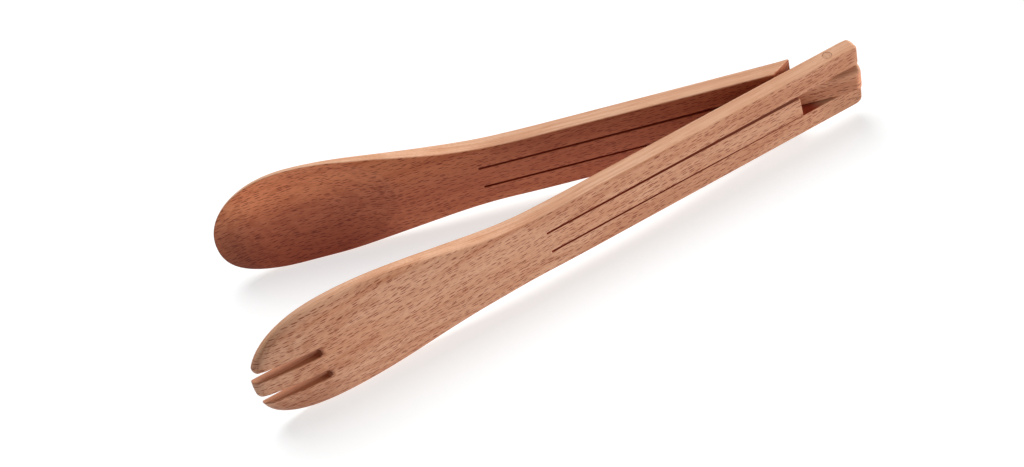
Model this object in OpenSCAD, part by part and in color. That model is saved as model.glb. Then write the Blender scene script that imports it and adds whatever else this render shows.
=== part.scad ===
// Wooden kitchen tongs that spring open by themselves. A fork arm and a spoon
// arm are sawn lengthwise into three lanes each. The long lanes cross on one
// dowel; the short lanes press on the other arm and bend like leaf springs.
//
// Each arm is drawn in its own flat frame: u runs from the dowel to the tip
// along -X, n is the side facing the other arm (+Y), z is across the width.

/* [Arms] */
// Distance from the dowel's axis to the tip of each head
tip_reach = 285; // [270:1:300]
// How far each finger runs past the dowel's axis
end_reach = 14; // [12:0.5:18]
// Width of the straight handle
handle_w = 34; // [33:0.5:36]
// Thickness of the straight handle
handle_t = 7.4; // [7:0.1:8]
// Angle between the two arms at rest
rest_angle = 19.4; // [19:0.1:24]

/* [Heads] */
// Greatest width of the fork head
fork_head_w = 58.6; // [50:0.2:64]
// Greatest width of the spoon head
spoon_head_w = 58; // [50:0.2:64]
// Squareness of the fork head's end, where 2 is an ellipse
fork_roundness = 2.5; // [2:0.1:3]
// Squareness of the spoon head's end, where 2 is an ellipse
spoon_roundness = 2.25; // [2:0.05:3]
// How far the hand-cut head bulges towards its upper edge
head_sway = 3.3; // [0:0.1:4]
// How far the tip sits below the bulge
tip_drop = 5.9; // [0:0.1:6]
// How far the inner face leans towards the other arm at the tip
tip_lean = 0.65; // [0:0.05:1.5]
// Radius along the outer face where a head curves up to its tip
belly_r = 223; // [200:1:260]
// How much of the thickness the rounded nose takes off the outer face at the tip
nose_h = 2.2; // [1.6:0.1:2.6]
// Radius across the crowned outer face of a head
outer_crown = 105; // [95:5:160]
// Radius across the slightly crowned inner face of a head
inner_crown = 420; // [300:10:600]

/* [Spoon hollow] */
// Distance from the dowel's axis to the deepest place of the spoon's hollow
dish_u = 241.5; // [238:0.5:245]
// Depth of the hollow below the flat of the handle
dish_depth = 4.6; // [3:0.1:4.8]
// Radius of the hollow along the arm
dish_long = 195; // [190:5:230]
// Radius of the hollow across the arm
dish_across = 130; // [120:5:150]

/* [Fork slots] */
// Width of the slots between the tines
tine_gap = 4.6; // [4.1:0.1:5]
// Distance from the fork's centre line to the middle of each slot
tine_gap_z = 7.3; // [6.5:0.1:9]
// Distance from the dowel's axis to the closed end of each slot
tine_root = 253.2; // [250:0.2:262]

/* [Springs and hinge] */
// Width of each lengthwise saw cut
kerf = 1.1; // [1:0.1:1.4]
// Width of the middle lane between the two saw cuts
lane_w = 10.66; // [10:0.02:11.5]
// Distance from the dowel's axis to the end of the fork arm's saw cuts
fork_root = 146; // [140:1:150]
// Distance from the dowel's axis to the end of the spoon arm's saw cuts
spoon_root = 160.5; // [155:0.5:165]
// Distance from the dowel's axis to the free end of the fork arm's tongue
tongue_end = 17.4; // [16:0.1:19]
// Distance from the dowel's axis to the free ends of the spoon arm's prongs
prong_end = 16.2; // [15.5:0.1:19]
// Length of the bevel at the free end of a spring lane
bevel_l = 8.5; // [7:0.5:10]
// Clear gap where a spring lane meets its arm
root_gap = 0.3; // [0.3:0.05:0.5]
// Diameter of the dowel
dowel_d = 4.2; // [4:0.1:5.5]
// Play between the dowel and the spoon finger that turns on it
dowel_play = 0.05; // [0.02:0.01:0.09]

/* [Hidden] */
$fn = 64;
tilt = rest_angle / 2;
half_w = handle_w / 2;
half_t = handle_t / 2;
lane_gap = lane_w + 2 * kerf;
swell_start = 148;
widest = 242;
sway_start = 125;
bend_start = 150;
end_round_in = 3.5;
end_round_out = 1.5;
belly_start = 240;
nose_w = 5;
crown_start = 150;
crown_full = 215;
crown_lift = 2.2;
dish_z = 5;
crown_z = 2.5;
steps = 26;
big = 120;
beyond = 10;
fork_wood = [0.75, 0.55, 0.44];
spoon_wood = [0.70, 0.45, 0.33];
dowel_wood = [0.82, 0.66, 0.50];

// Ease from 0 to 1 as t goes from 0 to 1
function ease(t) = (1 - cos(180 * min(max(t, 0), 1))) / 2;

// Shape of an arm at distance u from the dowel
function inner(u) = half_t
    + tip_lean * pow(max(u - bend_start, 0) / (tip_reach - bend_start), 2.5);
function belly(u) = pow(max(u - belly_start, 0), 2) / (2 * belly_r) - half_t;
function nose(u) = nose_h
    * (1 - sqrt(1 - pow(min(max(u - tip_reach + nose_w, 0) / nose_w, 1), 2)));
function sway(u) = head_sway * ease((u - sway_start) / (widest - sway_start))
    - tip_drop * pow(max(u - widest, 0) / (tip_reach - widest), 2);
function neck_half(u, head_w) = half_w
    + (head_w / 2 - half_w) * ease((u - swell_start) / (widest - swell_start));

// One long edge of an arm in plan, from the handle to the tip; side is 1 or -1
function edge(head_w, roundness, side) = concat(
    [for (i = [0 : steps])
        let (u = sway_start + (widest - sway_start) * i / steps)
        [-u, sway(u) + side * neck_half(u, head_w)]],
    [for (i = [1 : steps])
        let (a = 90 * i / steps,
             u = widest + (tip_reach - widest) * pow(sin(a), 2 / roundness))
        [-u, sway(u) + side * head_w / 2 * pow(cos(a), 2 / roundness)]]);
function reversed(points) = [for (i = [len(points) - 1 : -1 : 0]) points[i]];

fork_floor = min([for (p = edge(fork_head_w, fork_roundness, -1)) p[1]]);
spoon_floor = min([for (p = edge(spoon_head_w, spoon_roundness, -1)) p[1]]);
pin_z = -min(fork_floor, spoon_floor);
tip_x = tip_reach * cos(tilt) + inner(tip_reach) * sin(tilt);
end_x = (end_reach - end_round_out) * cos(tilt) + (half_t - end_round_out) * sin(tilt)
    + end_round_out;
pin_x = (tip_x - end_x) / 2;

// Outline of an arm seen from its face
module plan_shape(head_w, roundness) {
    upper = edge(head_w, roundness, 1);
    lower = edge(head_w, roundness, -1);
    tail = end_reach + beyond;
    polygon(concat([[tail, half_w]], upper, reversed(lower), [[tail, -half_w]]));
}

// Outline of an arm seen along the dowel, with the round end of its fingers
module side_shape() {
    stations = concat(
        [for (i = [0 : steps - 1]) bend_start + (tip_reach - nose_w - bend_start) * i / steps],
        [for (a = [0 : 15 : 90]) tip_reach - nose_w + nose_w * sin(a)]);
    round_end = concat(
        [for (a = [90 : -15 : 0]) [end_reach - end_round_in * (1 - cos(a)),
                                   half_t - end_round_in * (1 - sin(a))]],
        [for (a = [0 : -15 : -90]) [end_reach - end_round_out * (1 - cos(a)),
                                    end_round_out * (1 + sin(a)) - half_t]]);
    polygon(concat(
        reversed([for (u = stations) [-u, inner(u)]]),
        round_end,
        [for (u = stations) [-u, belly(u) + nose(u)]]));
}

// Round solid along the arm whose surface crowns one face of the head
module crown(radius, face) {
    stations = concat([-beyond * 3, crown_start],
        [for (i = [1 : steps / 2]) crown_start + (tip_reach - crown_start) * i / (steps / 2)],
        [tip_reach + beyond]);
    lifts = [for (u = stations)
        crown_lift * (1 - ease((u - crown_start) / (crown_full - crown_start)))];
    offsets = [for (u = stations) face > 0 ? inner(u) : -belly(u)];
    translate([0, -face * radius, crown_z]) rotate([0, -90, 0])
        rotate_extrude($fn = 180) polygon(concat(
            [[0, stations[0]]],
            [for (i = [0 : len(stations) - 1]) [radius + offsets[i] + lifts[i], stations[i]]],
            [[0, stations[len(stations) - 1]]]));
}

// The whole arm before any saw cut
module arm_blank(head_w, roundness) {
    intersection() {
        linear_extrude(height = big, center = true) side_shape();
        rotate([90, 0, 0]) linear_extrude(height = big, center = true)
            plan_shape(head_w, roundness);
        crown(outer_crown, -1);
        crown(inner_crown, 1);
    }
}

// The wheel that hollows the spoon, turning on an axis across the arm
module dish_wheel() {
    reach = 40;
    rim = [for (i = [-16 : 16]) let (z = reach * i / 16)
        [dish_long - dish_across + sqrt(pow(dish_across, 2) - pow(z, 2)), z]];
    translate([-dish_u, half_t - dish_depth + dish_long, dish_z])
        rotate_extrude($fn = 180)
            polygon(concat([[0, -reach]], rim, [[0, reach]]));
}

// A block of space over a lane, deeper than the wood
module lane_space(u0, u1, z0, z1) {
    translate([-u1, -big / 2, z0]) cube([u1 - u0, big, z1 - z0]);
}

// A lane that bends as a spring, bevelled at its free end on the inner side
module spring_lane(end, root, z0, z1) {
    translate([0, 0, z0]) linear_extrude(height = z1 - z0)
        polygon([[root_gap - root, -half_t], [-end, -half_t],
                 [-end - bevel_l, half_t], [root_gap - root, half_t]]);
}

// A prong of the spoon arm, with the arm's own outline along its outer edge
module prong(z0, z1) {
    intersection() {
        spring_lane(prong_end, spoon_root, z0, z1);
        rotate([90, 0, 0]) linear_extrude(height = big, center = true)
            plan_shape(spoon_head_w, spoon_roundness);
    }
}

// The slots between the fork's tines
module tine_slots() {
    for (side = [-1, 1]) translate([0, 0, side * tine_gap_z]) {
        translate([-tine_root - tine_gap / 2, 0, 0]) rotate([90, 0, 0])
            cylinder(h = big, d = tine_gap, center = true);
        lane_space(tine_root + tine_gap / 2, tip_reach + beyond, -tine_gap / 2, tine_gap / 2);
    }
}

// Places an arm's own frame in the tongs: side is 1 for the fork, -1 for the spoon
module placed(side) {
    translate([pin_x, 0, pin_z]) mirror([0, side > 0 ? 0 : 1, 0]) rotate([0, 0, tilt])
        children();
}

module fork_arm() {
    color(fork_wood) placed(1) difference() {
        arm_blank(fork_head_w, fork_roundness);
        lane_space(-end_reach - beyond, fork_root, -lane_gap / 2, lane_gap / 2);
        tine_slots();
        cylinder(h = big, d = dowel_d, center = true);
    }
}

module spoon_arm() {
    color(spoon_wood) placed(-1) difference() {
        arm_blank(spoon_head_w, spoon_roundness);
        for (side = [-1, 1]) translate([0, 0, side * (lane_w + big) / 2])
            lane_space(-end_reach - beyond, spoon_root, -big / 2, big / 2);
        dish_wheel();
        cylinder(h = big, d = dowel_d + 2 * dowel_play, center = true);
    }
}

module hinge_dowel() {
    color(dowel_wood) translate([pin_x, 0, pin_z])
        cylinder(h = handle_w, d = dowel_d, center = true);
}

module fork_spring_tongue() {
    color(fork_wood) placed(1) spring_lane(tongue_end, fork_root, -lane_w / 2, lane_w / 2);
}

module spoon_spring_prong_upper() {
    color(spoon_wood) placed(-1) prong(lane_gap / 2, half_w + 3);
}

module spoon_spring_prong_lower() {
    color(spoon_wood) placed(-1) prong(-half_w - 3, -lane_gap / 2);
}

fork_arm();
spoon_arm();
hinge_dowel();
fork_spring_tongue();
spoon_spring_prong_upper();
spoon_spring_prong_lower();
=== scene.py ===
"""Wooden spring tongs: a fork arm and a spoon arm, sawn into lanes that cross on one dowel.

An arm is drawn in its own flat frame, in millimetres, as the CAD does: u runs from the dowel to the
tip, n faces the other arm and z is across the width. place() puts it in the row frame, in metres.
"""
import math

import bmesh
import bpy
import numpy as np
from mathutils import Matrix, Vector
from mathutils.geometry import delaunay_2d_cdt


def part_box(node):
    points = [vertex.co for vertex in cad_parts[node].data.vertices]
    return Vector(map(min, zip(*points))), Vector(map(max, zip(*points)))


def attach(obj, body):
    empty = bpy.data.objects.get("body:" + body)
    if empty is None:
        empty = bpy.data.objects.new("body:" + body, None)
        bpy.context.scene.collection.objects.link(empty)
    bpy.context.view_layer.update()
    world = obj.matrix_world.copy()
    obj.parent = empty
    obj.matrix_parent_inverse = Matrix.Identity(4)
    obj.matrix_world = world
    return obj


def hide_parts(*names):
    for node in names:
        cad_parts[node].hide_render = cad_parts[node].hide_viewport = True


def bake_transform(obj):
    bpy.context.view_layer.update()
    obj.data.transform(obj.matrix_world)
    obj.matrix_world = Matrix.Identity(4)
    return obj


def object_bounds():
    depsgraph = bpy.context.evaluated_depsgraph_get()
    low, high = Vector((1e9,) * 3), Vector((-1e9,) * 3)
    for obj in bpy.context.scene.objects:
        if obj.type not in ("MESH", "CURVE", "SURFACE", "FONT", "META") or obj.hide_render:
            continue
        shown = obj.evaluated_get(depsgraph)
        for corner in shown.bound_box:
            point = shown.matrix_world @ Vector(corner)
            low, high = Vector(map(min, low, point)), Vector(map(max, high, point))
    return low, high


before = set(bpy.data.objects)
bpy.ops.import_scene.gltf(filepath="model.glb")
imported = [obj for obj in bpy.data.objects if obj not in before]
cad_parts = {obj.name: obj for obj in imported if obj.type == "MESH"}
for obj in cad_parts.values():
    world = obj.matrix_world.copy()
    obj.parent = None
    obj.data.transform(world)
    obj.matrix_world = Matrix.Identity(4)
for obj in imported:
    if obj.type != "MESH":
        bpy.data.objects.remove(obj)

CAD_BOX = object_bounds()
MM = 0.001

# Driving dimensions, in millimetres and degrees
TIP_REACH = 284.95
END_REACH = 14.0
HANDLE_W = 34.0
HANDLE_T = 7.4
TILT = 9.7
FORK = dict(width=58.6, roundness=2.5, side=1, hollow=False, upper_end=13.5)
SPOON = dict(width=58.0, roundness=2.25, side=-1, hollow=True, upper_end=14.0)
HEAD_SWAY = 3.3
TIP_DROP = 5.9
TIP_LEAN = 0.65
BELLY_R = 223.0
OUTER_CROWN = 190.0
INNER_CROWN = 420.0
CROWN_Z = 2.5
CROWN_LIFT = 1.2
TINE_GAP = 4.6
TINE_GAP_Z = 7.3
TINE_ROOT = 253.2
DISH_U, DISH_Z = 241.5, 5.0
DISH_DEPTH = 4.6
DISH_LONG, DISH_ACROSS = 195.0, 130.0
KERF = 1.1
LANE_W = 10.66
FORK_ROOT = 146.0
SPOON_ROOT = 160.5
TONGUE_END, PRONG_END = 17.4, 16.2
BEVEL_LENGTH, BEVEL_EDGE = 8.5, 0.5
BORE_GAP = 0.07
DOWEL_EASE = 0.25

# Where the shape changes along an arm: its edges are straight up to STRAIGHT_TO and beyond
SWELL_START, WIDEST = 148.0, 242.0
SWAY_START, BEND_START = 125.0, 150.0
STRAIGHT_TO = 100.0
BELLY_START = 240.0
CROWN_START, CROWN_FULL = 150.0, 215.0
LEAN_POWER = 2.5

# Radii of the corners in plan: of the fingers' ends, of the lanes' free ends and of the slots' mouths
FORK_UPPER_CORNERS, FORK_LOWER_CORNERS = (2.2, 2.0), (4.0, 1.0)
SPOON_CORNER = 2.0
LANE_CORNER, PRONG_OUTER_CORNER = 0.5, 1.0
MOUTH_UPPER_CORNER, MOUTH_LOWER_CORNER = 2.0, 0.4
# How far from a mouth's corners the outline's own points are left out, so that the corners fit
MOUTH_UPPER_CLEAR, MOUTH_LOWER_CLEAR = 3.2, 1.2

# Rounding of the edges: SEAM is where two pieces of one arm meet
EDGE = 0.9
KERF_EDGE = 0.18
SLOT_UPPER_EDGE, SLOT_LOWER_EDGE = 1.1, 0.35
SEAM = 0.02
# Round-over of the outer face along a head's rim: width and depth, and where it starts on the neck
RIM_W, RIM_H = 5.0, 2.2
RIM_START, RIM_FULL = 150.0, 205.0
# Rounding of the fingers' ends in the side view, and reach of the blends between surfaces
NOSE_INNER, NOSE_OUTER = 3.5, 1.5
FACE_BLEND, DISH_BLEND = 0.35, 0.2
# Most of the thickness that one rounded edge may take
ROUNDING_SHARE = 0.42

# How the lanes sit: bent by their load at rest, the tongue low and a little skew at its end
PRELOAD = 0.5
TONGUE_SAG, TONGUE_SKEW = 0.3, 0.7

# How finely the pieces are meshed: steps to a curve, and spacing of points in millimetres
ROUND_STEPS, CORNER_STEPS, SLOT_STEPS = 4, 8, 16
NECK_STEPS, END_STEPS = 40, 44
ROUND_SEGMENTS = 48
LONGEST_EDGE, SPACING, ROW_SPACING, CLOSEST = 3.0, 2.0, 1.0, 0.8
# Distances of extra points from a finger's end, a lane's end, a head's rim and the hollow's border
NOSE_STEPS = (0.5, 1.0, 1.6, 2.3, 3.1, 4.2)
BEVEL_STEPS = (1.2, 3.0, 5.0, 7.0, BEVEL_LENGTH)
RIM_STEPS = (1.9, 3.0, 4.2, 5.4)
DISH_STEPS = (-0.9, 0, 0.9, 2.0)
# Where the border of the spoon's hollow is looked for, as start, end and step
DISH_BORDER_U, DISH_BORDER_Z = (185, 242, 0.25), (-28, 33, 1.2)
# Cosine between two outline edges above which they count as one straight run
STRAIGHT_COSINE = 0.9995
# Angle between two faces above which the edge they share is shaded sharp
CREASE_ANGLE = 34

HALF_W = HANDLE_W / 2
HALF_T = HANDLE_T / 2
LANE = LANE_W / 2
GAP = LANE + KERF

# Wood: size of each kind of figure along the grain, through the thickness and across, in millimetres,
# and the tone that it multiplies the colour by; the grain's slope is in degrees
GRAIN_SLOPE = 3.0
WOBBLE_SIZE, WOBBLE_SHIFT = (30, 12, 12), (0, 1.5, 3.0)
BAND_SIZE, BAND_TONE = (160, 5, 3.2), (0.92, 0.84, 0.78)
RING_SIZE, RING_TONE = (120, 0.55, 7), (0.86, 0.76, 0.70)
FIBRE_SIZE, FIBRE_TONE = (16, 0.45, 0.30), (0.88, 0.80, 0.74)
PATCH_SIZE, PATCH_TONE = (45, 20, 14), (0.96, 0.90, 0.86)
LARGE_CELL, LARGE_FLECK = (3.5, 16.0, 1.3), (2.1, 13.0, 0.30)
SMALL_CELL, SMALL_FLECK = (2.4, 3.0, 0.8), (1.3, 1.6, 0.15)
FLECK_TONE = (0.38, 0.15, 0.09)
SMALL_FLECK_STRENGTH = 0.6
# Painted shade: the darker tone of the saw cuts' walls, where little light reaches
KERF_SHADE_TONE = (0.55, 0.18, 0.12)
# Painted shade: the darker tone of the walls of the fork's slots
SLOT_SHADE_TONE = (0.74, 0.59, 0.51)
# Painted light: the lighter colour that the edges facing up or down are mixed towards
LIT_EDGE_TONE = (0.79, 0.46, 0.295)
END_RING_SIZE, END_RING_SHIFT = (6, 6, 60), (9, 3, 0)
END_RING_TONE = (0.90, 0.84, 0.78)
PORE_SIZE, PORE_TONE = (0.25, 0.25, 8), (0.84, 0.72, 0.64)
# The spoon's base is darker and redder than the fork's: painted shade on its faces, which the lighter
# edges and zones lift again
FORK_BASE, SPOON_SHADED_BASE, DOWEL_BASE = (0.685, 0.365, 0.225), (0.58, 0.185, 0.085), (0.68, 0.37, 0.225)
# Slow changes of tone, much of it painted light and shade: range of u, range of z and the tone that
# fades in over them
# Fork: painted shade on the lower tines, where the face turns away; darker on the lower finger's end and
# towards the hinge end
FORK_TONE_AND_SHADE_ZONES = [((245, 262), (-9, -16), (0.78, 0.66, 0.60)),
              ((14, -4), (-2, -10), (0.80, 0.74, 0.68)),
              ((90, 20), (0, 0), (0.94, 0.89, 0.86))]
# Spoon: painted light on the finger's end by the dowel and on the upper part of the neck and head;
# painted shade over the head's lower part; darker towards the tip
SPOON_LIGHT_AND_SHADE_ZONES = [((30, 6), (0, 0), (1.25, 1.85, 2.3)),
               ((130, 185), (2, 18), (1.27, 1.45, 1.45)),
               ((190, 232), (0, 24), (1.16, 1.16, 1.12)),
               ((260, 282), (0, 0), (0.72, 0.74, 0.72)),
               ((190, 232), (10, -20), (0.66, 0.44, 0.36))]

# Studio, in metres, watts and degrees
FLOOR_HALF = 3.0
FLOOR_COLOUR, FLOOR_GLOW = (0.49, 0.51, 0.515, 1), 0.64
WORLD_STRENGTH = 0.06
LIGHTS = {
    "overhead": dict(size=0.9, power=17.5, position=(-0.12, 0.52, 1.35)),
    "right": dict(size=1.4, power=121.0, position=(3.0, -0.75, 0.40)),
}
LIGHT_AIM = (0, 0, 0.02)
CAMERA_PLACE = (-0.06065, -0.52192, 0.56517)
CAMERA_AZIMUTH, CAMERA_ELEVATION, CAMERA_ROLL = 4.29, 46.69, -18.13
CAMERA_LENS, CAMERA_SENSOR = 60.19, 36

low, high = (Vector(corner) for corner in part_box("hinge_dowel"))
PIN = (low + high) / 2
DOWEL_R = (high.x - low.x) / 2


# ---------------------------------------------------------------- shape of an arm
def ease(t):
    """0 up to t = 0 and 1 from t = 1, with a smooth rise between."""
    return (1 - math.cos(math.pi * min(max(t, 0.0), 1.0))) / 2


def flat_height(u, face):
    """Height of the inner (1) or outer (-1) face along an arm's middle, before it is crowned."""
    if face > 0:
        return HALF_T + TIP_LEAN * (max(u - BEND_START, 0) / (TIP_REACH - BEND_START)) ** LEAN_POWER
    return HALF_T - max(u - BELLY_START, 0) ** 2 / (2 * BELLY_R)


def sway(u):
    """Height of the arm's centre line across the width: the head sits high and its tip drops."""
    rise = HEAD_SWAY * ease((u - SWAY_START) / (WIDEST - SWAY_START))
    return rise - TIP_DROP * (max(u - WIDEST, 0) / (TIP_REACH - WIDEST)) ** 2


def smooth_min(a, b, reach):
    """The smaller of two heights, blended where they are within reach of each other."""
    near = max(reach - abs(a - b), 0) / reach
    return min(a, b) - near * near * reach / 4


def face_height(u, z, face):
    """Distance from the arm's middle plane to its inner (1) or outer (-1) face."""
    flat = flat_height(u, face)
    radius = INNER_CROWN if face > 0 else OUTER_CROWN
    lift = CROWN_LIFT * (1 - ease((u - CROWN_START) / (CROWN_FULL - CROWN_START)))
    crown = math.sqrt((radius + flat + lift) ** 2 - (z - CROWN_Z) ** 2) - radius
    return smooth_min(flat, crown, FACE_BLEND)


def nose(u, height, radius, end):
    """Rounds a finger's end in the side view."""
    past = -u - (end - radius)
    if past <= 0:
        return height
    return height - radius + math.sqrt(max(radius ** 2 - past ** 2, 0))


def dish(u, z):
    """Height of the spoon's hollow, as a wheel with a rounded rim cuts it."""
    across = math.sqrt(DISH_ACROSS ** 2 - (z - DISH_Z) ** 2)
    wheel = DISH_LONG - DISH_ACROSS + across
    return HALF_T - DISH_DEPTH + DISH_LONG - math.sqrt(max(wheel ** 2 - (u - DISH_U) ** 2, 0))


def gaps_to(a, b, u, z):
    """Distance in plan from points (u, z) to each of the segments from a to b."""
    ab = b - a
    t = ((u - a[:, 0]) * ab[:, 0] + (z - a[:, 1]) * ab[:, 1]) / np.sum(ab * ab, 1)
    t = np.clip(t, 0, 1)
    return np.hypot(u - a[:, 0] - t * ab[:, 0], z - a[:, 1] - t * ab[:, 1])


def rim_gap(rim, u, z):
    """Distance in plan from a head's rim, given as a row of points."""
    if u < RIM_START:
        return RIM_W
    return gaps_to(rim[:-1], rim[1:], u, z).min()


def arm_faces(head):
    """Gives the function for the heights of the outer and the inner face of an arm."""
    rim = np.array(head_outline(head, RIM_START - 2 * RIM_W))

    def heights(u, z):
        u = min(u, TIP_REACH)
        end = head["upper_end"] if z > 0 else END_REACH
        outer = nose(u, face_height(u, z, -1), NOSE_OUTER, end)
        inner = nose(u, face_height(u, z, 1), NOSE_INNER, end)
        past = max(1 - rim_gap(rim, u, z) / RIM_W, 0)
        depth = RIM_H * ease((u - RIM_START) / (RIM_FULL - RIM_START))
        outer -= depth * (1 - math.sqrt(1 - past ** 2))
        if head["hollow"]:
            inner = smooth_min(inner, dish(u, z), DISH_BLEND)
        return -outer, inner
    return heights


def lane_faces(head, root, end):
    """Gives the same for a spring lane, bevelled at its free end and slightly bent by its load."""
    whole = arm_faces(head)

    def heights(u, z):
        bevel = max(end + BEVEL_LENGTH - u, 0) / BEVEL_LENGTH
        drop = bevel * (HANDLE_T - BEVEL_EDGE)
        bent = PRELOAD * max((root - u) / (root - end), 0) ** 2
        outer, inner = whole(max(u, 0), z)
        return outer - bent, inner - drop - bent
    return heights


# ---------------------------------------------------------------- outlines, as (u, z, corner, edge)
def edge_z(head, u, side):
    """Height of a long edge at u, on the neck."""
    swell = (head["width"] / 2 - HALF_W) * ease((u - SWELL_START) / (WIDEST - SWELL_START))
    return sway(u) + side * (HALF_W + swell)


def long_edge(head, side, start):
    """One long edge of an arm in plan from u = start to the tip, with its points close together."""
    half = head["width"] / 2
    power = 2 / head["roundness"]
    points = [(start, side * HALF_W)] if start < SWAY_START else []
    for i in range(NECK_STEPS):
        u = SWAY_START + (WIDEST - SWAY_START) * i / NECK_STEPS
        if u >= start:
            points.append((u, edge_z(head, u, side)))
    for i in range(END_STEPS + 1):
        a = math.pi / 2 * i / END_STEPS
        u = WIDEST + (TIP_REACH - WIDEST) * math.sin(a) ** power
        points.append((u, sway(u) + side * half * max(math.cos(a), 0) ** power))
    return points


def head_outline(head, start):
    """The head's outline from the upper edge at u = start round the tip to the lower edge."""
    upper = long_edge(head, 1, start)
    lower = long_edge(head, -1, start)
    return upper + lower[-2::-1]


def clear_of(points, corner, reach):
    """Drops the points nearer to a corner than its rounding reaches."""
    return [p for p in points if math.hypot(p[0] - corner[0], p[1] - corner[1]) > reach]


def cut_slots(outline):
    """Opens the fork's two slots in an outline that passes round the tip from top to bottom."""
    half = TINE_GAP / 2
    centre = TINE_ROOT + half
    path = []
    for slot_z in (TINE_GAP_Z, -TINE_GAP_Z):
        top, bottom = slot_z + half, slot_z - half
        at = next(i for i, p in enumerate(outline) if p[0] > TINE_ROOT and p[1] < top)
        path += [(u, z, 0, EDGE) for u, z in outline[:at]]
        mouth_top = crossing(outline[at - 1], outline[at], top)
        outline = outline[at:]
        at = next(i for i, p in enumerate(outline) if p[1] < bottom)
        before = outline[at - 1] if at else (mouth_top, top)
        mouth_bottom = crossing(before, outline[at], bottom)
        outline = outline[at:]
        path = clear_of(path, (mouth_top, top), MOUTH_UPPER_CLEAR)
        path.append((mouth_top, top, MOUTH_UPPER_CORNER, SLOT_UPPER_EDGE))
        for i in range(SLOT_STEPS + 1):
            a = math.pi / 2 + math.pi * i / SLOT_STEPS
            sharp = ease(i / SLOT_STEPS)
            edge = SLOT_UPPER_EDGE + (SLOT_LOWER_EDGE - SLOT_UPPER_EDGE) * sharp
            path.append((centre + half * math.cos(a), slot_z + half * math.sin(a), 0, edge))
        path.append((mouth_bottom, bottom, MOUTH_LOWER_CORNER, EDGE))
        outline = clear_of(outline, (mouth_bottom, bottom), MOUTH_LOWER_CLEAR)
    return path + [(u, z, 0, EDGE) for u, z in outline]


def crossing(a, b, z):
    """u where the line from a to b reaches height z."""
    t = (z - a[1]) / (b[1] - a[1])
    return a[0] + (b[0] - a[0]) * t


def fork_loop():
    """Outline of the fork arm: two long fingers, head and tines."""
    head = cut_slots(head_outline(FORK, 0.0))
    upper_end = -FORK["upper_end"]
    upper_inner, upper_outer = FORK_UPPER_CORNERS
    lower_outer, lower_inner = FORK_LOWER_CORNERS
    return (
        [(upper_end, GAP, upper_inner, EDGE), (upper_end, HALF_W, upper_outer, EDGE)]
        + head
        + [(-END_REACH, -HALF_W, lower_outer, EDGE), (-END_REACH, -GAP, lower_inner, KERF_EDGE),
           (FORK_ROOT, -GAP, 0, KERF_EDGE), (FORK_ROOT, -LANE, 0, SEAM),
           (FORK_ROOT, LANE, 0, KERF_EDGE), (FORK_ROOT, GAP, 0, KERF_EDGE)]
    )


def spoon_loop():
    """Outline of the spoon arm: one long middle finger and the head."""
    head = [(u, z, 0, EDGE) for u, z in head_outline(SPOON, SPOON_ROOT)]
    return (
        [(-END_REACH, -LANE, SPOON_CORNER, EDGE), (-END_REACH, LANE, SPOON_CORNER, KERF_EDGE),
         (SPOON_ROOT, LANE, 0, KERF_EDGE), (SPOON_ROOT, GAP, 0, SEAM),
         (SPOON_ROOT, edge_z(SPOON, SPOON_ROOT, 1), 0, EDGE)]
        + head
        + [(SPOON_ROOT, edge_z(SPOON, SPOON_ROOT, -1), 0, SEAM), (SPOON_ROOT, -GAP, 0, KERF_EDGE),
           (SPOON_ROOT, -LANE, 0, KERF_EDGE)]
    )


def tongue_loop():
    """Outline of the fork's tongue, whose free end sits a little low in its lane."""
    ridge = TONGUE_END + BEVEL_LENGTH
    bottom, top = -LANE - TONGUE_SAG, LANE - TONGUE_SAG
    return [(ridge, bottom, 0, KERF_EDGE), (TONGUE_END, bottom, LANE_CORNER, KERF_EDGE),
            (TONGUE_END + TONGUE_SKEW, top, LANE_CORNER, KERF_EDGE), (ridge, top, 0, KERF_EDGE),
            (FORK_ROOT, LANE, 0, SEAM), (FORK_ROOT, -LANE, 0, KERF_EDGE)]


def prong_loop(side):
    """Outline of a spoon prong, whose long outer edge runs on into the head's."""
    ridge = PRONG_END + BEVEL_LENGTH
    outer = [(PRONG_END, side * HALF_W, PRONG_OUTER_CORNER, EDGE), (ridge, side * HALF_W, 0, EDGE)]
    rest = [point for point in long_edge(SPOON, side, STRAIGHT_TO) if point[0] < SPOON_ROOT - CLOSEST]
    outer += [(u, z, 0, EDGE) for u, z in rest]
    outer.append((SPOON_ROOT, edge_z(SPOON, SPOON_ROOT, side), 0, SEAM))
    inner = [(SPOON_ROOT, side * GAP, 0, KERF_EDGE), (ridge, side * GAP, 0, KERF_EDGE)]
    return [(PRONG_END, side * GAP, LANE_CORNER, KERF_EDGE)] + outer + inner


# ---------------------------------------------------------------- plan outline to solid
def rounded_corners(loop):
    """Turns each corner with a radius into an arc; returns points and the rounding of the edge after."""
    points, rounds = [], []
    count = len(loop)
    for i, (u, z, radius, rounding) in enumerate(loop):
        here = np.array((u, z))
        if not radius:
            points.append(here)
            rounds.append(rounding)
            continue
        before = np.array(loop[i - 1][:2]) - here
        after = np.array(loop[(i + 1) % count][:2]) - here
        before /= np.linalg.norm(before)
        after /= np.linalg.norm(after)
        half = math.acos(max(-1, min(1, before @ after))) / 2
        reach = radius / math.tan(half)
        bisector = (before + after) / np.linalg.norm(before + after)
        centre = here + bisector * radius / math.sin(half)
        first = here + before * reach - centre
        last = here + after * reach - centre
        turn = math.atan2(first[0] * last[1] - first[1] * last[0], first @ last)
        for k in range(CORNER_STEPS + 1):
            a = turn * k / CORNER_STEPS
            c, s = math.cos(a), math.sin(a)
            points.append(centre + (first[0] * c - first[1] * s, first[0] * s + first[1] * c))
            earlier = loop[i - 1][3]
            rounds.append(earlier + (rounding - earlier) * (k + 1) / (CORNER_STEPS + 1))
    return points, rounds


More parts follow.
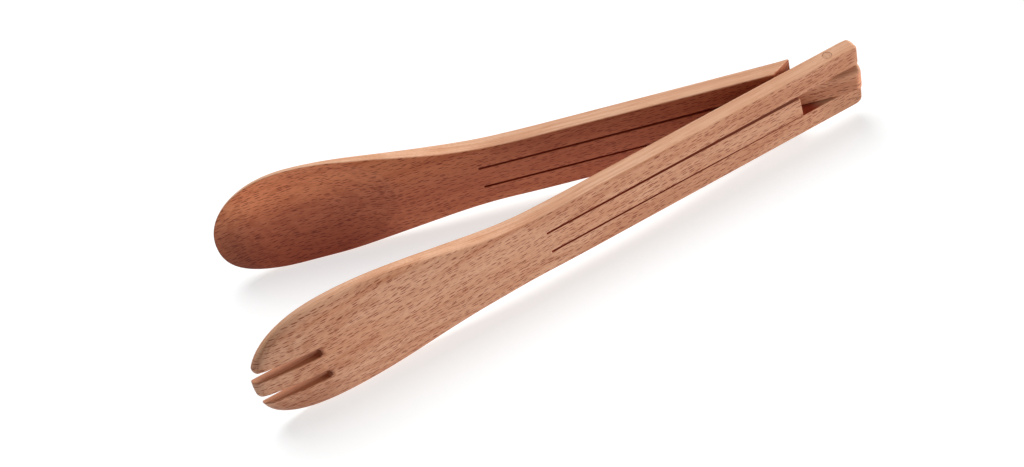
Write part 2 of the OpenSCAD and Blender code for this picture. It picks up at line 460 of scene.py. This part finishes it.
def subdivided(points, rounds):
    """Splits long edges evenly."""
    out, out_rounds = [], []
    for i, here in enumerate(points):
        there = points[(i + 1) % len(points)]
        parts = max(1, math.ceil(np.linalg.norm(there - here) / LONGEST_EDGE))
        for k in range(parts):
            out.append(here + (there - here) * k / parts)
            out_rounds.append(rounds[i])
    return np.array(out), np.array(out_rounds)


def inset_rings(points, rounds, heights):
    """Rings of the rounded edge from side wall to face, as (plan points, drop below the face)."""
    following = np.roll(points, -1, 0)
    area = 0.5 * np.sum(points[:, 0] * following[:, 1] - following[:, 0] * points[:, 1])
    along = following - points
    along /= np.linalg.norm(along, axis=1)[:, None]
    inward = np.stack((-along[:, 1], along[:, 0]), 1) * np.sign(area)
    thickness = np.array([np.subtract(*reversed(heights(u, z))) for u, z in points])
    after = np.minimum(rounds, ROUNDING_SHARE * thickness)
    before = np.roll(after, 1)
    n1, n2 = np.roll(inward, 1, 0), inward
    cosine = np.clip(np.sum(n1 * n2, 1), -0.5, 1)
    straight = cosine > STRAIGHT_COSINE
    spread = np.where(straight, 1.0, 1 - cosine ** 2)
    along_n1 = n1 * (before - after * cosine)[:, None]
    along_n2 = n2 * (after - before * cosine)[:, None]
    corner = (along_n1 + along_n2) / spread[:, None]
    even = (n1 + n2) / 2 * ((before + after) / 2)[:, None]
    move = np.where(straight[:, None], even, corner)
    deepest = np.maximum(before, after)
    rings = []
    for k in range(ROUND_STEPS + 1):
        a = math.pi / 2 * k / ROUND_STEPS
        rings.append((points + move * (1 - math.cos(a)), deepest * (1 - math.sin(a))))
    return rings


def inside(ring, points, margin):
    """Which points lie inside a closed ring, at least margin from its edges."""
    a, b = ring, np.roll(ring, -1, 0)
    px, pz = points[:, :1], points[:, 1:]
    crosses = (a[:, 1] > pz) != (b[:, 1] > pz)
    rise = np.where(b[:, 1] == a[:, 1], 1e-9, b[:, 1] - a[:, 1])
    left = px < (b[:, 0] - a[:, 0]) * (pz - a[:, 1]) / rise + a[:, 0]
    within = np.sum(crosses & left, 1) % 2 == 1
    return within & (gaps_to(a, b, px, pz).min(1) > margin)


def offset_rim(head):
    """Rows of points inside a head's rim, one for each of RIM_STEPS."""
    rim = np.array(head_outline(head, RIM_START))
    along = np.gradient(rim, axis=0)
    along /= np.linalg.norm(along, axis=1)[:, None]
    inward = np.stack((along[:, 1], -along[:, 0]), 1)
    return np.vstack([rim + inward * gap for gap in RIM_STEPS])


def dish_border():
    """Points along the hollow's border across the neck, and just beside it."""
    points = []
    for z in np.arange(*DISH_BORDER_Z):
        cut = [u for u in np.arange(*DISH_BORDER_U) if dish(u, z) < face_height(u, z, 1)]
        if cut:
            points += [(cut[0] + step, z) for step in DISH_STEPS]
    return np.array(points)


def face_points(ring, rows, extra):
    """Points over the face: staggered rows, closer together where the face turns quickly."""
    low_u, low_z = ring.min(0)
    high_u, high_z = ring.max(0)
    us = [u for u in np.arange(low_u, high_u, SPACING) if all(abs(u - r) > SPACING / 2 for r in rows)]
    zs = np.arange(low_z, high_z, SPACING)
    kept = np.array([(u, z + (i % 2) * SPACING / 2) for i, u in enumerate(us) for z in zs])
    kept = kept[inside(ring, kept, SPACING / 2)]
    close = np.array([(u, z) for u in rows for z in np.arange(low_z, high_z, ROW_SPACING)])
    kept = np.vstack((kept, close[inside(ring, close, ROW_SPACING / 4)]))
    if len(extra):
        extra = extra[inside(ring, extra, ROW_SPACING / 2)]
        gaps = np.hypot(kept[:, None, 0] - extra[None, :, 0], kept[:, None, 1] - extra[None, :, 1])
        kept = np.vstack((kept[gaps.min(1) > CLOSEST], extra))
    return kept


def add_half(mesh, face, heights, rings, sheet_plan, triangles, ring_at):
    """Adds the rounded edge and the sheet of one face, 0 outer or 1 inner; returns its wall's points."""
    sign = 1 if face else -1
    count = len(ring_at)
    rows = []
    for points, drops in rings[:-1]:
        row = [mesh.verts.new((u, heights(u, z)[face] - sign * drop, z))
               for (u, z), drop in zip(points, drops)]
        rows.append(row)
    sheet = [mesh.verts.new((v.x, heights(v.x, v.y)[face], v.y)) for v in sheet_plan]
    rows.append([sheet[i] for i in ring_at])
    for a, b in zip(rows, rows[1:]):
        for i in range(count):
            j = (i + 1) % count
            mesh.faces.new((a[i], a[j], b[j], b[i]))
    for triangle in triangles:
        mesh.faces.new([sheet[i] for i in triangle])
    return rows[0]


def solid(loop, heights, rows, extra=()):
    """A closed mesh over a plan outline, between two face heights, with all its edges rounded."""
    points, rounds = subdivided(*rounded_corners(loop))
    rings = inset_rings(points, rounds, heights)
    ring = rings[-1][0]
    count = len(ring)
    plan = [Vector(p) for p in np.vstack((ring, face_points(ring, rows, extra)))]
    edges = [(i, (i + 1) % count) for i in range(count)]
    made, _, triangles, origins, _, _ = delaunay_2d_cdt(plan, edges, [], 1, 1e-6)
    made_from = {o: i for i, group in enumerate(origins) for o in group}
    ring_at = [made_from[i] for i in range(count)]
    mesh = bmesh.new()
    outer = add_half(mesh, 0, heights, rings, made, triangles, ring_at)
    inner = add_half(mesh, 1, heights, rings, made, triangles, ring_at)
    for i, j in edges:
        mesh.faces.new((outer[i], outer[j], inner[j], inner[i]))
    bmesh.ops.remove_doubles(mesh, verts=mesh.verts, dist=1e-4)
    bmesh.ops.dissolve_degenerate(mesh, edges=mesh.edges, dist=1e-4)
    return mesh


def place(mesh, side):
    """Moves a mesh from an arm's own frame to the tongs: side is 1 for the fork, -1 for the spoon."""
    flat = Matrix(((-MM, 0, 0, 0), (0, MM, 0, 0), (0, 0, MM, 0), (0, 0, 0, 1)))
    turn = Matrix.Rotation(math.radians(TILT), 4, "Z")
    mirror = Matrix.Scale(side, 4, (0, 1, 0))
    mesh.transform(Matrix.Translation(PIN) @ mirror @ turn @ flat)
    bmesh.ops.recalc_face_normals(mesh, faces=mesh.faces)


def to_object(mesh, name, material):
    """Makes an object with smooth faces, sharp only where two faces meet at a corner."""
    for face in mesh.faces:
        face.smooth = True
    for edge in mesh.edges:
        edge.smooth = len(edge.link_faces) == 2 and edge.calc_face_angle() < math.radians(CREASE_ANGLE)
    data = bpy.data.meshes.new(name)
    mesh.to_mesh(data)
    mesh.free()
    data.materials.append(material)
    piece = bpy.data.objects.new(name, data)
    bpy.context.scene.collection.objects.link(piece)
    return piece


def weigh_normals(piece):
    """Lets the large flat faces set the shading of the small rounded ones beside them."""
    modifier = piece.modifiers.new("Flat faces stay flat", "WEIGHTED_NORMAL")
    modifier.keep_sharp = True
    modifier.weight = 100


def drill(piece, radius):
    """Cuts the dowel's bore through a piece."""
    cutter_mesh = bmesh.new()
    bmesh.ops.create_cone(cutter_mesh, cap_ends=True, segments=ROUND_SEGMENTS, radius1=radius,
                          radius2=radius, depth=3 * HANDLE_W * MM)
    data = bpy.data.meshes.new("bore cutter")
    cutter_mesh.to_mesh(data)
    cutter_mesh.free()
    cutter = bpy.data.objects.new("bore_cutter", data)
    cutter.location = PIN
    bpy.context.scene.collection.objects.link(cutter)
    modifier = piece.modifiers.new("Bore", "BOOLEAN")
    modifier.object = cutter
    modifier.solver = "EXACT"
    bpy.context.view_layer.update()
    bored = bpy.data.meshes.new_from_object(piece.evaluated_get(bpy.context.evaluated_depsgraph_get()))
    piece.modifiers.clear()
    piece.data = bored
    bpy.data.objects.remove(cutter)


# ---------------------------------------------------------------- wood
class Nodes:
    """Adds shader nodes to a material and links their inputs."""

    def __init__(self, name):
        self.material = bpy.data.materials.new(name)
        self.material.use_nodes = True
        self.tree = self.material.node_tree
        self.tree.nodes.clear()

    def add(self, kind, inputs=None, **settings):
        made = self.tree.nodes.new("ShaderNode" + kind)
        for key, value in settings.items():
            setattr(made, key, value)
        for key, value in (inputs or {}).items():
            if isinstance(value, bpy.types.NodeSocket):
                self.tree.links.new(value, made.inputs[key])
            else:
                made.inputs[key].default_value = value
        return made

    def math(self, operation, a, b=0.0):
        return self.add("Math", {0: a, 1: b}, operation=operation).outputs[0]

    def times(self, *factors):
        """The product of two or more values."""
        product = factors[0]
        for factor in factors[1:]:
            product = self.math("MULTIPLY", product, factor)
        return product

    def axis(self, vector, index):
        """One of a vector's three components."""
        return self.add("SeparateXYZ", {0: vector}).outputs[index]

    def off(self, value, middle):
        """How far a value is from the middle."""
        return self.math("ABSOLUTE", self.math("SUBTRACT", value, middle))

    def vector(self, operation, a, b=(0, 0, 0)):
        made = self.add("VectorMath", {0: a, 1: b}, operation=operation)
        return made.outputs["Value"] if operation == "LENGTH" else made.outputs["Vector"]

    def stretched(self, coords, x, y, z):
        """Coordinates whose unit is x, y and z millimetres long."""
        return self.vector("MULTIPLY", coords, (1 / (x * MM), 1 / (y * MM), 1 / (z * MM)))

    def noise(self, coords, detail=2.0, roughness=0.5):
        inputs = {"Vector": coords, "Scale": 1.0, "Detail": detail, "Roughness": roughness}
        return self.add("TexNoise", inputs).outputs["Fac"]

    def ramp(self, value, low, high):
        """0 below low and 1 above high, smoothly."""
        made = self.add("MapRange", {"Value": value, "From Min": low, "From Max": high},
                        interpolation_type="SMOOTHSTEP")
        return made.outputs["Result"]

    def tint(self, colour, factor, tone, blend="MULTIPLY"):
        """A colour multiplied by a tone, or mixed with it, as far as the factor says."""
        inputs = {0: factor, 6: colour, 7: (*tone, 1)}
        return self.add("Mix", inputs, data_type="RGBA", blend_type=blend).outputs[2]

    def finish(self, inputs):
        """Ends the material in a shader with these inputs."""
        shader = self.add("BsdfPrincipled", inputs)
        self.add("OutputMaterial", {"Surface": shader.outputs[0]})
        return self.material


def wood_coords(nodes, side, slope=0.0):
    """The arm's own coordinates in metres: x along the grain, y through the thickness, z across."""
    own = nodes.add("TexCoord").outputs["Object"]
    placed = nodes.add("Mapping", {"Vector": own, "Location": tuple(PIN),
                                   "Rotation": (0, 0, side * math.radians(TILT))}, vector_type="TEXTURE")
    turned = nodes.add("Mapping", {"Vector": placed.outputs[0], "Rotation": (0, math.radians(slope), 0)})
    return turned.outputs[0]


def flecks(nodes, coords, cell, size, seed):
    """Short dark dashes along the grain, one in each cell: cell and size are in millimetres."""
    shifted = nodes.vector("ADD", nodes.stretched(coords, *cell), (seed, seed * 1.7, seed * 2.3))
    cells = nodes.add("TexVoronoi", {"Vector": shifted, "Scale": 1.0, "Randomness": 1.0})
    away = nodes.vector("SUBTRACT", shifted, cells.outputs["Position"])
    reach = tuple(c / s for c, s in zip(cell, size))
    distance = nodes.vector("LENGTH", nodes.vector("MULTIPLY", away, reach))
    strength = nodes.ramp(nodes.add("SeparateColor", {0: cells.outputs["Color"]}).outputs[0], 0.0, 0.6)
    return nodes.math("MULTIPLY", nodes.ramp(distance, 1.0, 0.45), strength)


def kerf_shade_mask(nodes, coords, up, root):
    """1 on the walls of the two saw cuts of an arm, between its springs' free ends and its root, where
    painted shade darkens them.
    """
    across = nodes.math("ABSOLUTE", nodes.axis(coords, 2))
    off_centre = nodes.off(across, (LANE + GAP) / 2 * MM)
    in_cut = nodes.ramp(off_centre, (KERF / 2 + 0.6) * MM, (KERF / 2 + 0.1) * MM)
    along = nodes.math("MULTIPLY", nodes.axis(coords, 0), -1.0)
    past_end = nodes.ramp(along, (TONGUE_END - 13) * MM, (TONGUE_END - 5) * MM)
    before_root = nodes.ramp(along, (root + 3) * MM, (root + 1) * MM)
    wall = nodes.ramp(up, 0.6, 0.9)
    return nodes.times(in_cut, wall, past_end, before_root)


def slot_shade_mask(nodes, coords):
    """1 on the walls of the slots between the fork's tines, where painted shade darkens them."""
    across = nodes.math("ABSOLUTE", nodes.axis(coords, 2))
    off_centre = nodes.off(across, TINE_GAP_Z * MM)
    in_slot = nodes.ramp(off_centre, (TINE_GAP / 2 + 0.9) * MM, (TINE_GAP / 2 + 0.1) * MM)
    along = nodes.math("MULTIPLY", nodes.axis(coords, 0), -1.0)
    past_root = nodes.ramp(along, (TINE_ROOT - 2) * MM, (TINE_ROOT - 0.5) * MM)
    return nodes.times(in_slot, past_root)


def shaded(nodes, coords, colour, zones):
    """Painted light and shade, and slow changes of tone, over an arm: each zone fades in over a range of
    u and a range of z.
    """
    along = nodes.math("MULTIPLY", nodes.axis(coords, 0), -1.0)
    across = nodes.axis(coords, 2)
    for (u_from, u_to), (z_from, z_to), tone in zones:
        factor = nodes.ramp(along, u_from * MM, u_to * MM)
        if z_from != z_to:
            factor = nodes.times(factor, nodes.ramp(across, z_from * MM, z_to * MM))
        colour = nodes.tint(colour, factor, tone)
    return colour


def beech(name, side, base, root, zones, seed):
    """Oiled steamed beech: warm pink-brown, with ray flecks, fine pores and soft growth bands, plus
    painted light on its edges and painted light and shade in its saw cuts, slots and zones.
    """
    nodes = Nodes(name)
    straight = wood_coords(nodes, side)
    coords = wood_coords(nodes, side, slope=GRAIN_SLOPE)
    wobble_inputs = {"Vector": nodes.stretched(coords, *WOBBLE_SIZE), "Scale": 1.0, "Detail": 1.0}
    wobble = nodes.add("TexNoise", wobble_inputs)
    centred = nodes.vector("SUBTRACT", wobble.outputs["Color"], (0.5, 0.5, 0.5))
    shift = tuple(reach * MM for reach in WOBBLE_SHIFT)
    waved = nodes.vector("ADD", coords, nodes.vector("MULTIPLY", centred, shift))
    up = nodes.math("ABSOLUTE", nodes.axis(nodes.add("NewGeometry").outputs["True Normal"], 2))
    edge = nodes.ramp(up, 0.35, 0.80)
    face = nodes.math("SUBTRACT", 1.0, edge)

    bands = nodes.noise(nodes.stretched(waved, *BAND_SIZE), detail=3.0)
    rings = nodes.noise(nodes.stretched(waved, *RING_SIZE))
    fibres = nodes.noise(nodes.stretched(waved, *FIBRE_SIZE), detail=4.0, roughness=0.65)
    patches = nodes.noise(nodes.stretched(coords, *PATCH_SIZE))
    large = flecks(nodes, waved, LARGE_CELL, LARGE_FLECK, seed)
    small = flecks(nodes, waved, SMALL_CELL, SMALL_FLECK, seed + 5)
    dark = nodes.times(nodes.math("MAXIMUM", large, nodes.times(small, SMALL_FLECK_STRENGTH)), face)

    # Painted light and shade, and slow tone, from the zones
    colour = shaded(nodes, straight, (*base, 1), zones)
    # Painted light: faces turned up or down, the arms' long edges, are mixed towards a lighter colour
    colour = nodes.tint(colour, edge, LIT_EDGE_TONE, blend="MIX")
    colour = nodes.tint(colour, nodes.ramp(bands, 0.42, 0.72), BAND_TONE)
    colour = nodes.tint(colour, nodes.ramp(rings, 0.45, 0.66), RING_TONE)
    colour = nodes.tint(colour, nodes.ramp(patches, 0.40, 0.75), PATCH_TONE)
    colour = nodes.tint(colour, nodes.ramp(fibres, 0.40, 0.72), FIBRE_TONE)
    colour = nodes.tint(colour, dark, FLECK_TONE)
    # Painted shade: the walls of the saw cuts are darkened
    colour = nodes.tint(colour, kerf_shade_mask(nodes, straight, up, root), KERF_SHADE_TONE)
    # Painted shade: the walls of the fork's slots are darkened
    if side > 0:
        colour = nodes.tint(colour, slot_shade_mask(nodes, straight), SLOT_SHADE_TONE)

    relief = nodes.math("ADD", nodes.times(fibres, 0.35), nodes.times(dark, -0.5))
    bump = nodes.add("Bump", {"Height": relief, "Strength": 0.25, "Distance": 0.15 * MM})
    rough = nodes.math("ADD", nodes.times(fibres, 0.16), 0.46)
    return nodes.finish({"Base Color": colour, "Roughness": rough, "Normal": bump.outputs[0],
                         "Specular IOR Level": 0.25})


def end_grain(name, base):
    """The dowel: pale wood whose ends show pores and faint rings."""
    nodes = Nodes(name)
    own = nodes.add("TexCoord").outputs["Object"]
    placed = nodes.add("Mapping", {"Vector": own, "Location": tuple(PIN)}, vector_type="TEXTURE")
    coords = placed.outputs[0]
    shift = tuple(reach * MM for reach in END_RING_SHIFT)
    ring_coords = nodes.stretched(nodes.vector("ADD", coords, shift), *END_RING_SIZE)
    ring_inputs = {"Vector": ring_coords, "Scale": 1.0, "Distortion": 2.0, "Detail": 2.0}
    rings = nodes.add("TexWave", ring_inputs, wave_type="RINGS", rings_direction="Z")
    pores = nodes.noise(nodes.stretched(coords, *PORE_SIZE), detail=3.0)
    colour = nodes.tint((*base, 1), nodes.ramp(rings.outputs["Fac"], 0.4, 0.9), END_RING_TONE)
    colour = nodes.tint(colour, nodes.ramp(pores, 0.52, 0.70), PORE_TONE)
    bump = nodes.add("Bump", {"Height": pores, "Strength": 0.3, "Distance": 0.1 * MM})
    return nodes.finish({"Base Color": colour, "Roughness": 0.6, "Normal": bump.outputs[0]})


# ---------------------------------------------------------------- pieces
def make_arm(name, loop, head, material, body):
    """An arm with its long fingers and head."""
    extra = offset_rim(head)
    if head["hollow"]:
        extra = np.vstack((extra, dish_border()))
    mesh = solid(loop, arm_faces(head), [-END_REACH + step for step in NOSE_STEPS], extra)
    place(mesh, head["side"])
    piece = to_object(mesh, name, material)
    drill(piece, DOWEL_R + BORE_GAP * MM)
    weigh_normals(piece)
    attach(piece, body)
    return piece


def make_lane(name, loop, span, head, material):
    """A spring lane that bends from its root on the arm to its free end."""
    root, end = span
    side = head["side"]
    mesh = solid(loop, lane_faces(head, root, end), [end + step for step in BEVEL_STEPS])
    place(mesh, side)
    piece = to_object(mesh, name, material)
    weigh_normals(piece)
    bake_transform(piece)
    return piece


def make_dowel(material):
    """The hinge dowel, flush with the fork arm's edges, its ends slightly eased."""
    half, eased = HALF_W * MM, DOWEL_EASE * MM
    profile = [(DOWEL_R - eased, half), (DOWEL_R, half - eased),
               (DOWEL_R, -half + eased), (DOWEL_R - eased, -half)]
    mesh = bmesh.new()
    top, bottom = (mesh.verts.new((0, 0, z)) for z in (half, -half))
    lines = []
    for i in range(ROUND_SEGMENTS):
        a = 2 * math.pi * i / ROUND_SEGMENTS
        lines.append([mesh.verts.new((r * math.cos(a), r * math.sin(a), z)) for r, z in profile])
    for a, b in zip(lines, lines[1:] + lines[:1]):
        mesh.faces.new((top, a[0], b[0]))
        mesh.faces.new((bottom, b[-1], a[-1]))
        for k in range(len(profile) - 1):
            mesh.faces.new((a[k], a[k + 1], b[k + 1], b[k]))
    mesh.transform(Matrix.Translation(PIN))
    bmesh.ops.recalc_face_normals(mesh, faces=mesh.faces)
    piece = to_object(mesh, "dowel", material)
    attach(piece, "fork_arm")
    return piece


fork_wood = beech("fork_beech", 1, FORK_BASE, FORK_ROOT, FORK_TONE_AND_SHADE_ZONES, seed=1.0)
spoon_wood = beech("spoon_beech", -1, SPOON_SHADED_BASE, SPOON_ROOT, SPOON_LIGHT_AND_SHADE_ZONES, seed=4.0)
dowel_wood = end_grain("dowel_beech", DOWEL_BASE)
fork = make_arm("fork_arm_wood", fork_loop(), FORK, fork_wood, "fork_arm")
spoon = make_arm("spoon_arm_wood", spoon_loop(), SPOON, spoon_wood, "spoon_arm")
tongue = make_lane("fork_tongue_wood", tongue_loop(), (FORK_ROOT, TONGUE_END), FORK, fork_wood)
upper = make_lane("upper_prong_wood", prong_loop(1), (SPOON_ROOT, PRONG_END), SPOON, spoon_wood)
lower = make_lane("lower_prong_wood", prong_loop(-1), (SPOON_ROOT, PRONG_END), SPOON, spoon_wood)
dowel = make_dowel(dowel_wood)
for piece, node, slot in (
    (fork, "fork_arm", "fork_wood"), (spoon, "spoon_arm", "spoon_wood"),
    (tongue, "fork_spring_tongue", "fork_wood"), (upper, "spoon_spring_prong_upper", "spoon_wood"),
    (lower, "spoon_spring_prong_lower", "spoon_wood"), (dowel, "hinge_dowel", "dowel_wood"),
):
    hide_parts(node)


# ---------------------------------------------------------------- studio
def make_floor():
    """A plain white sheet under the tongs."""
    mesh = bmesh.new()
    bmesh.ops.create_grid(mesh, x_segments=1, y_segments=1, size=FLOOR_HALF)
    nodes = Nodes("white_sweep")
    mottle = nodes.noise(nodes.stretched(nodes.add("TexCoord").outputs["Object"], 400, 400, 400))
    colour = nodes.tint(FLOOR_COLOUR, mottle, (0.99, 0.99, 0.99))
    material = nodes.finish({"Base Color": colour, "Roughness": 0.9, "Specular IOR Level": 0.0,
                             "Emission Color": (1, 1, 1, 1), "Emission Strength": FLOOR_GLOW})
    floor = to_object(mesh, "floor", material)
    floor.location.z = CAD_BOX[0].z


def area_light(name, size, power, position):
    """A square soft light that faces the tongs."""
    light = bpy.data.lights.new(name, "AREA")
    light.size = size
    light.energy = power
    holder = bpy.data.objects.new(name, light)
    holder.location = position
    holder.rotation_euler = (Vector(LIGHT_AIM) - Vector(position)).to_track_quat("-Z", "Y").to_euler()
    bpy.context.scene.collection.objects.link(holder)


def make_camera():
    """A camera in front of the fork arm and above it, looking down at both arms, and rolled."""
    azimuth = math.radians(CAMERA_AZIMUTH)
    elevation = math.radians(CAMERA_ELEVATION)
    roll = math.radians(CAMERA_ROLL)
    ahead = math.cos(elevation)
    forward = Vector((math.sin(azimuth) * ahead, math.cos(azimuth) * ahead, -math.sin(elevation)))
    level = Vector((math.cos(azimuth), -math.sin(azimuth), 0))
    above = level.cross(forward)
    right = level * math.cos(roll) + above * math.sin(roll)
    top = above * math.cos(roll) - level * math.sin(roll)
    camera = bpy.data.objects.new("camera", bpy.data.cameras.new("camera"))
    camera.data.sensor_width = CAMERA_SENSOR
    camera.data.lens = CAMERA_LENS
    camera.data.clip_start, camera.data.clip_end = 0.05, 20
    turn = Matrix((right, top, -forward)).transposed().to_4x4()
    camera.matrix_world = Matrix.Translation(CAMERA_PLACE) @ turn
    bpy.context.scene.collection.objects.link(camera)
    bpy.context.scene.camera = camera


def make_world():
    """Even white light from all round."""
    world = bpy.data.worlds.new("studio")
    world.use_nodes = True
    background = world.node_tree.nodes["Background"]
    background.inputs["Color"].default_value = (1, 1, 1, 1)
    background.inputs["Strength"].default_value = WORLD_STRENGTH
    bpy.context.scene.world = world


make_floor()
make_world()
for name, light in LIGHTS.items():
    area_light(name, **light)
make_camera()
bpy.context.scene.view_settings.view_transform = "Standard"
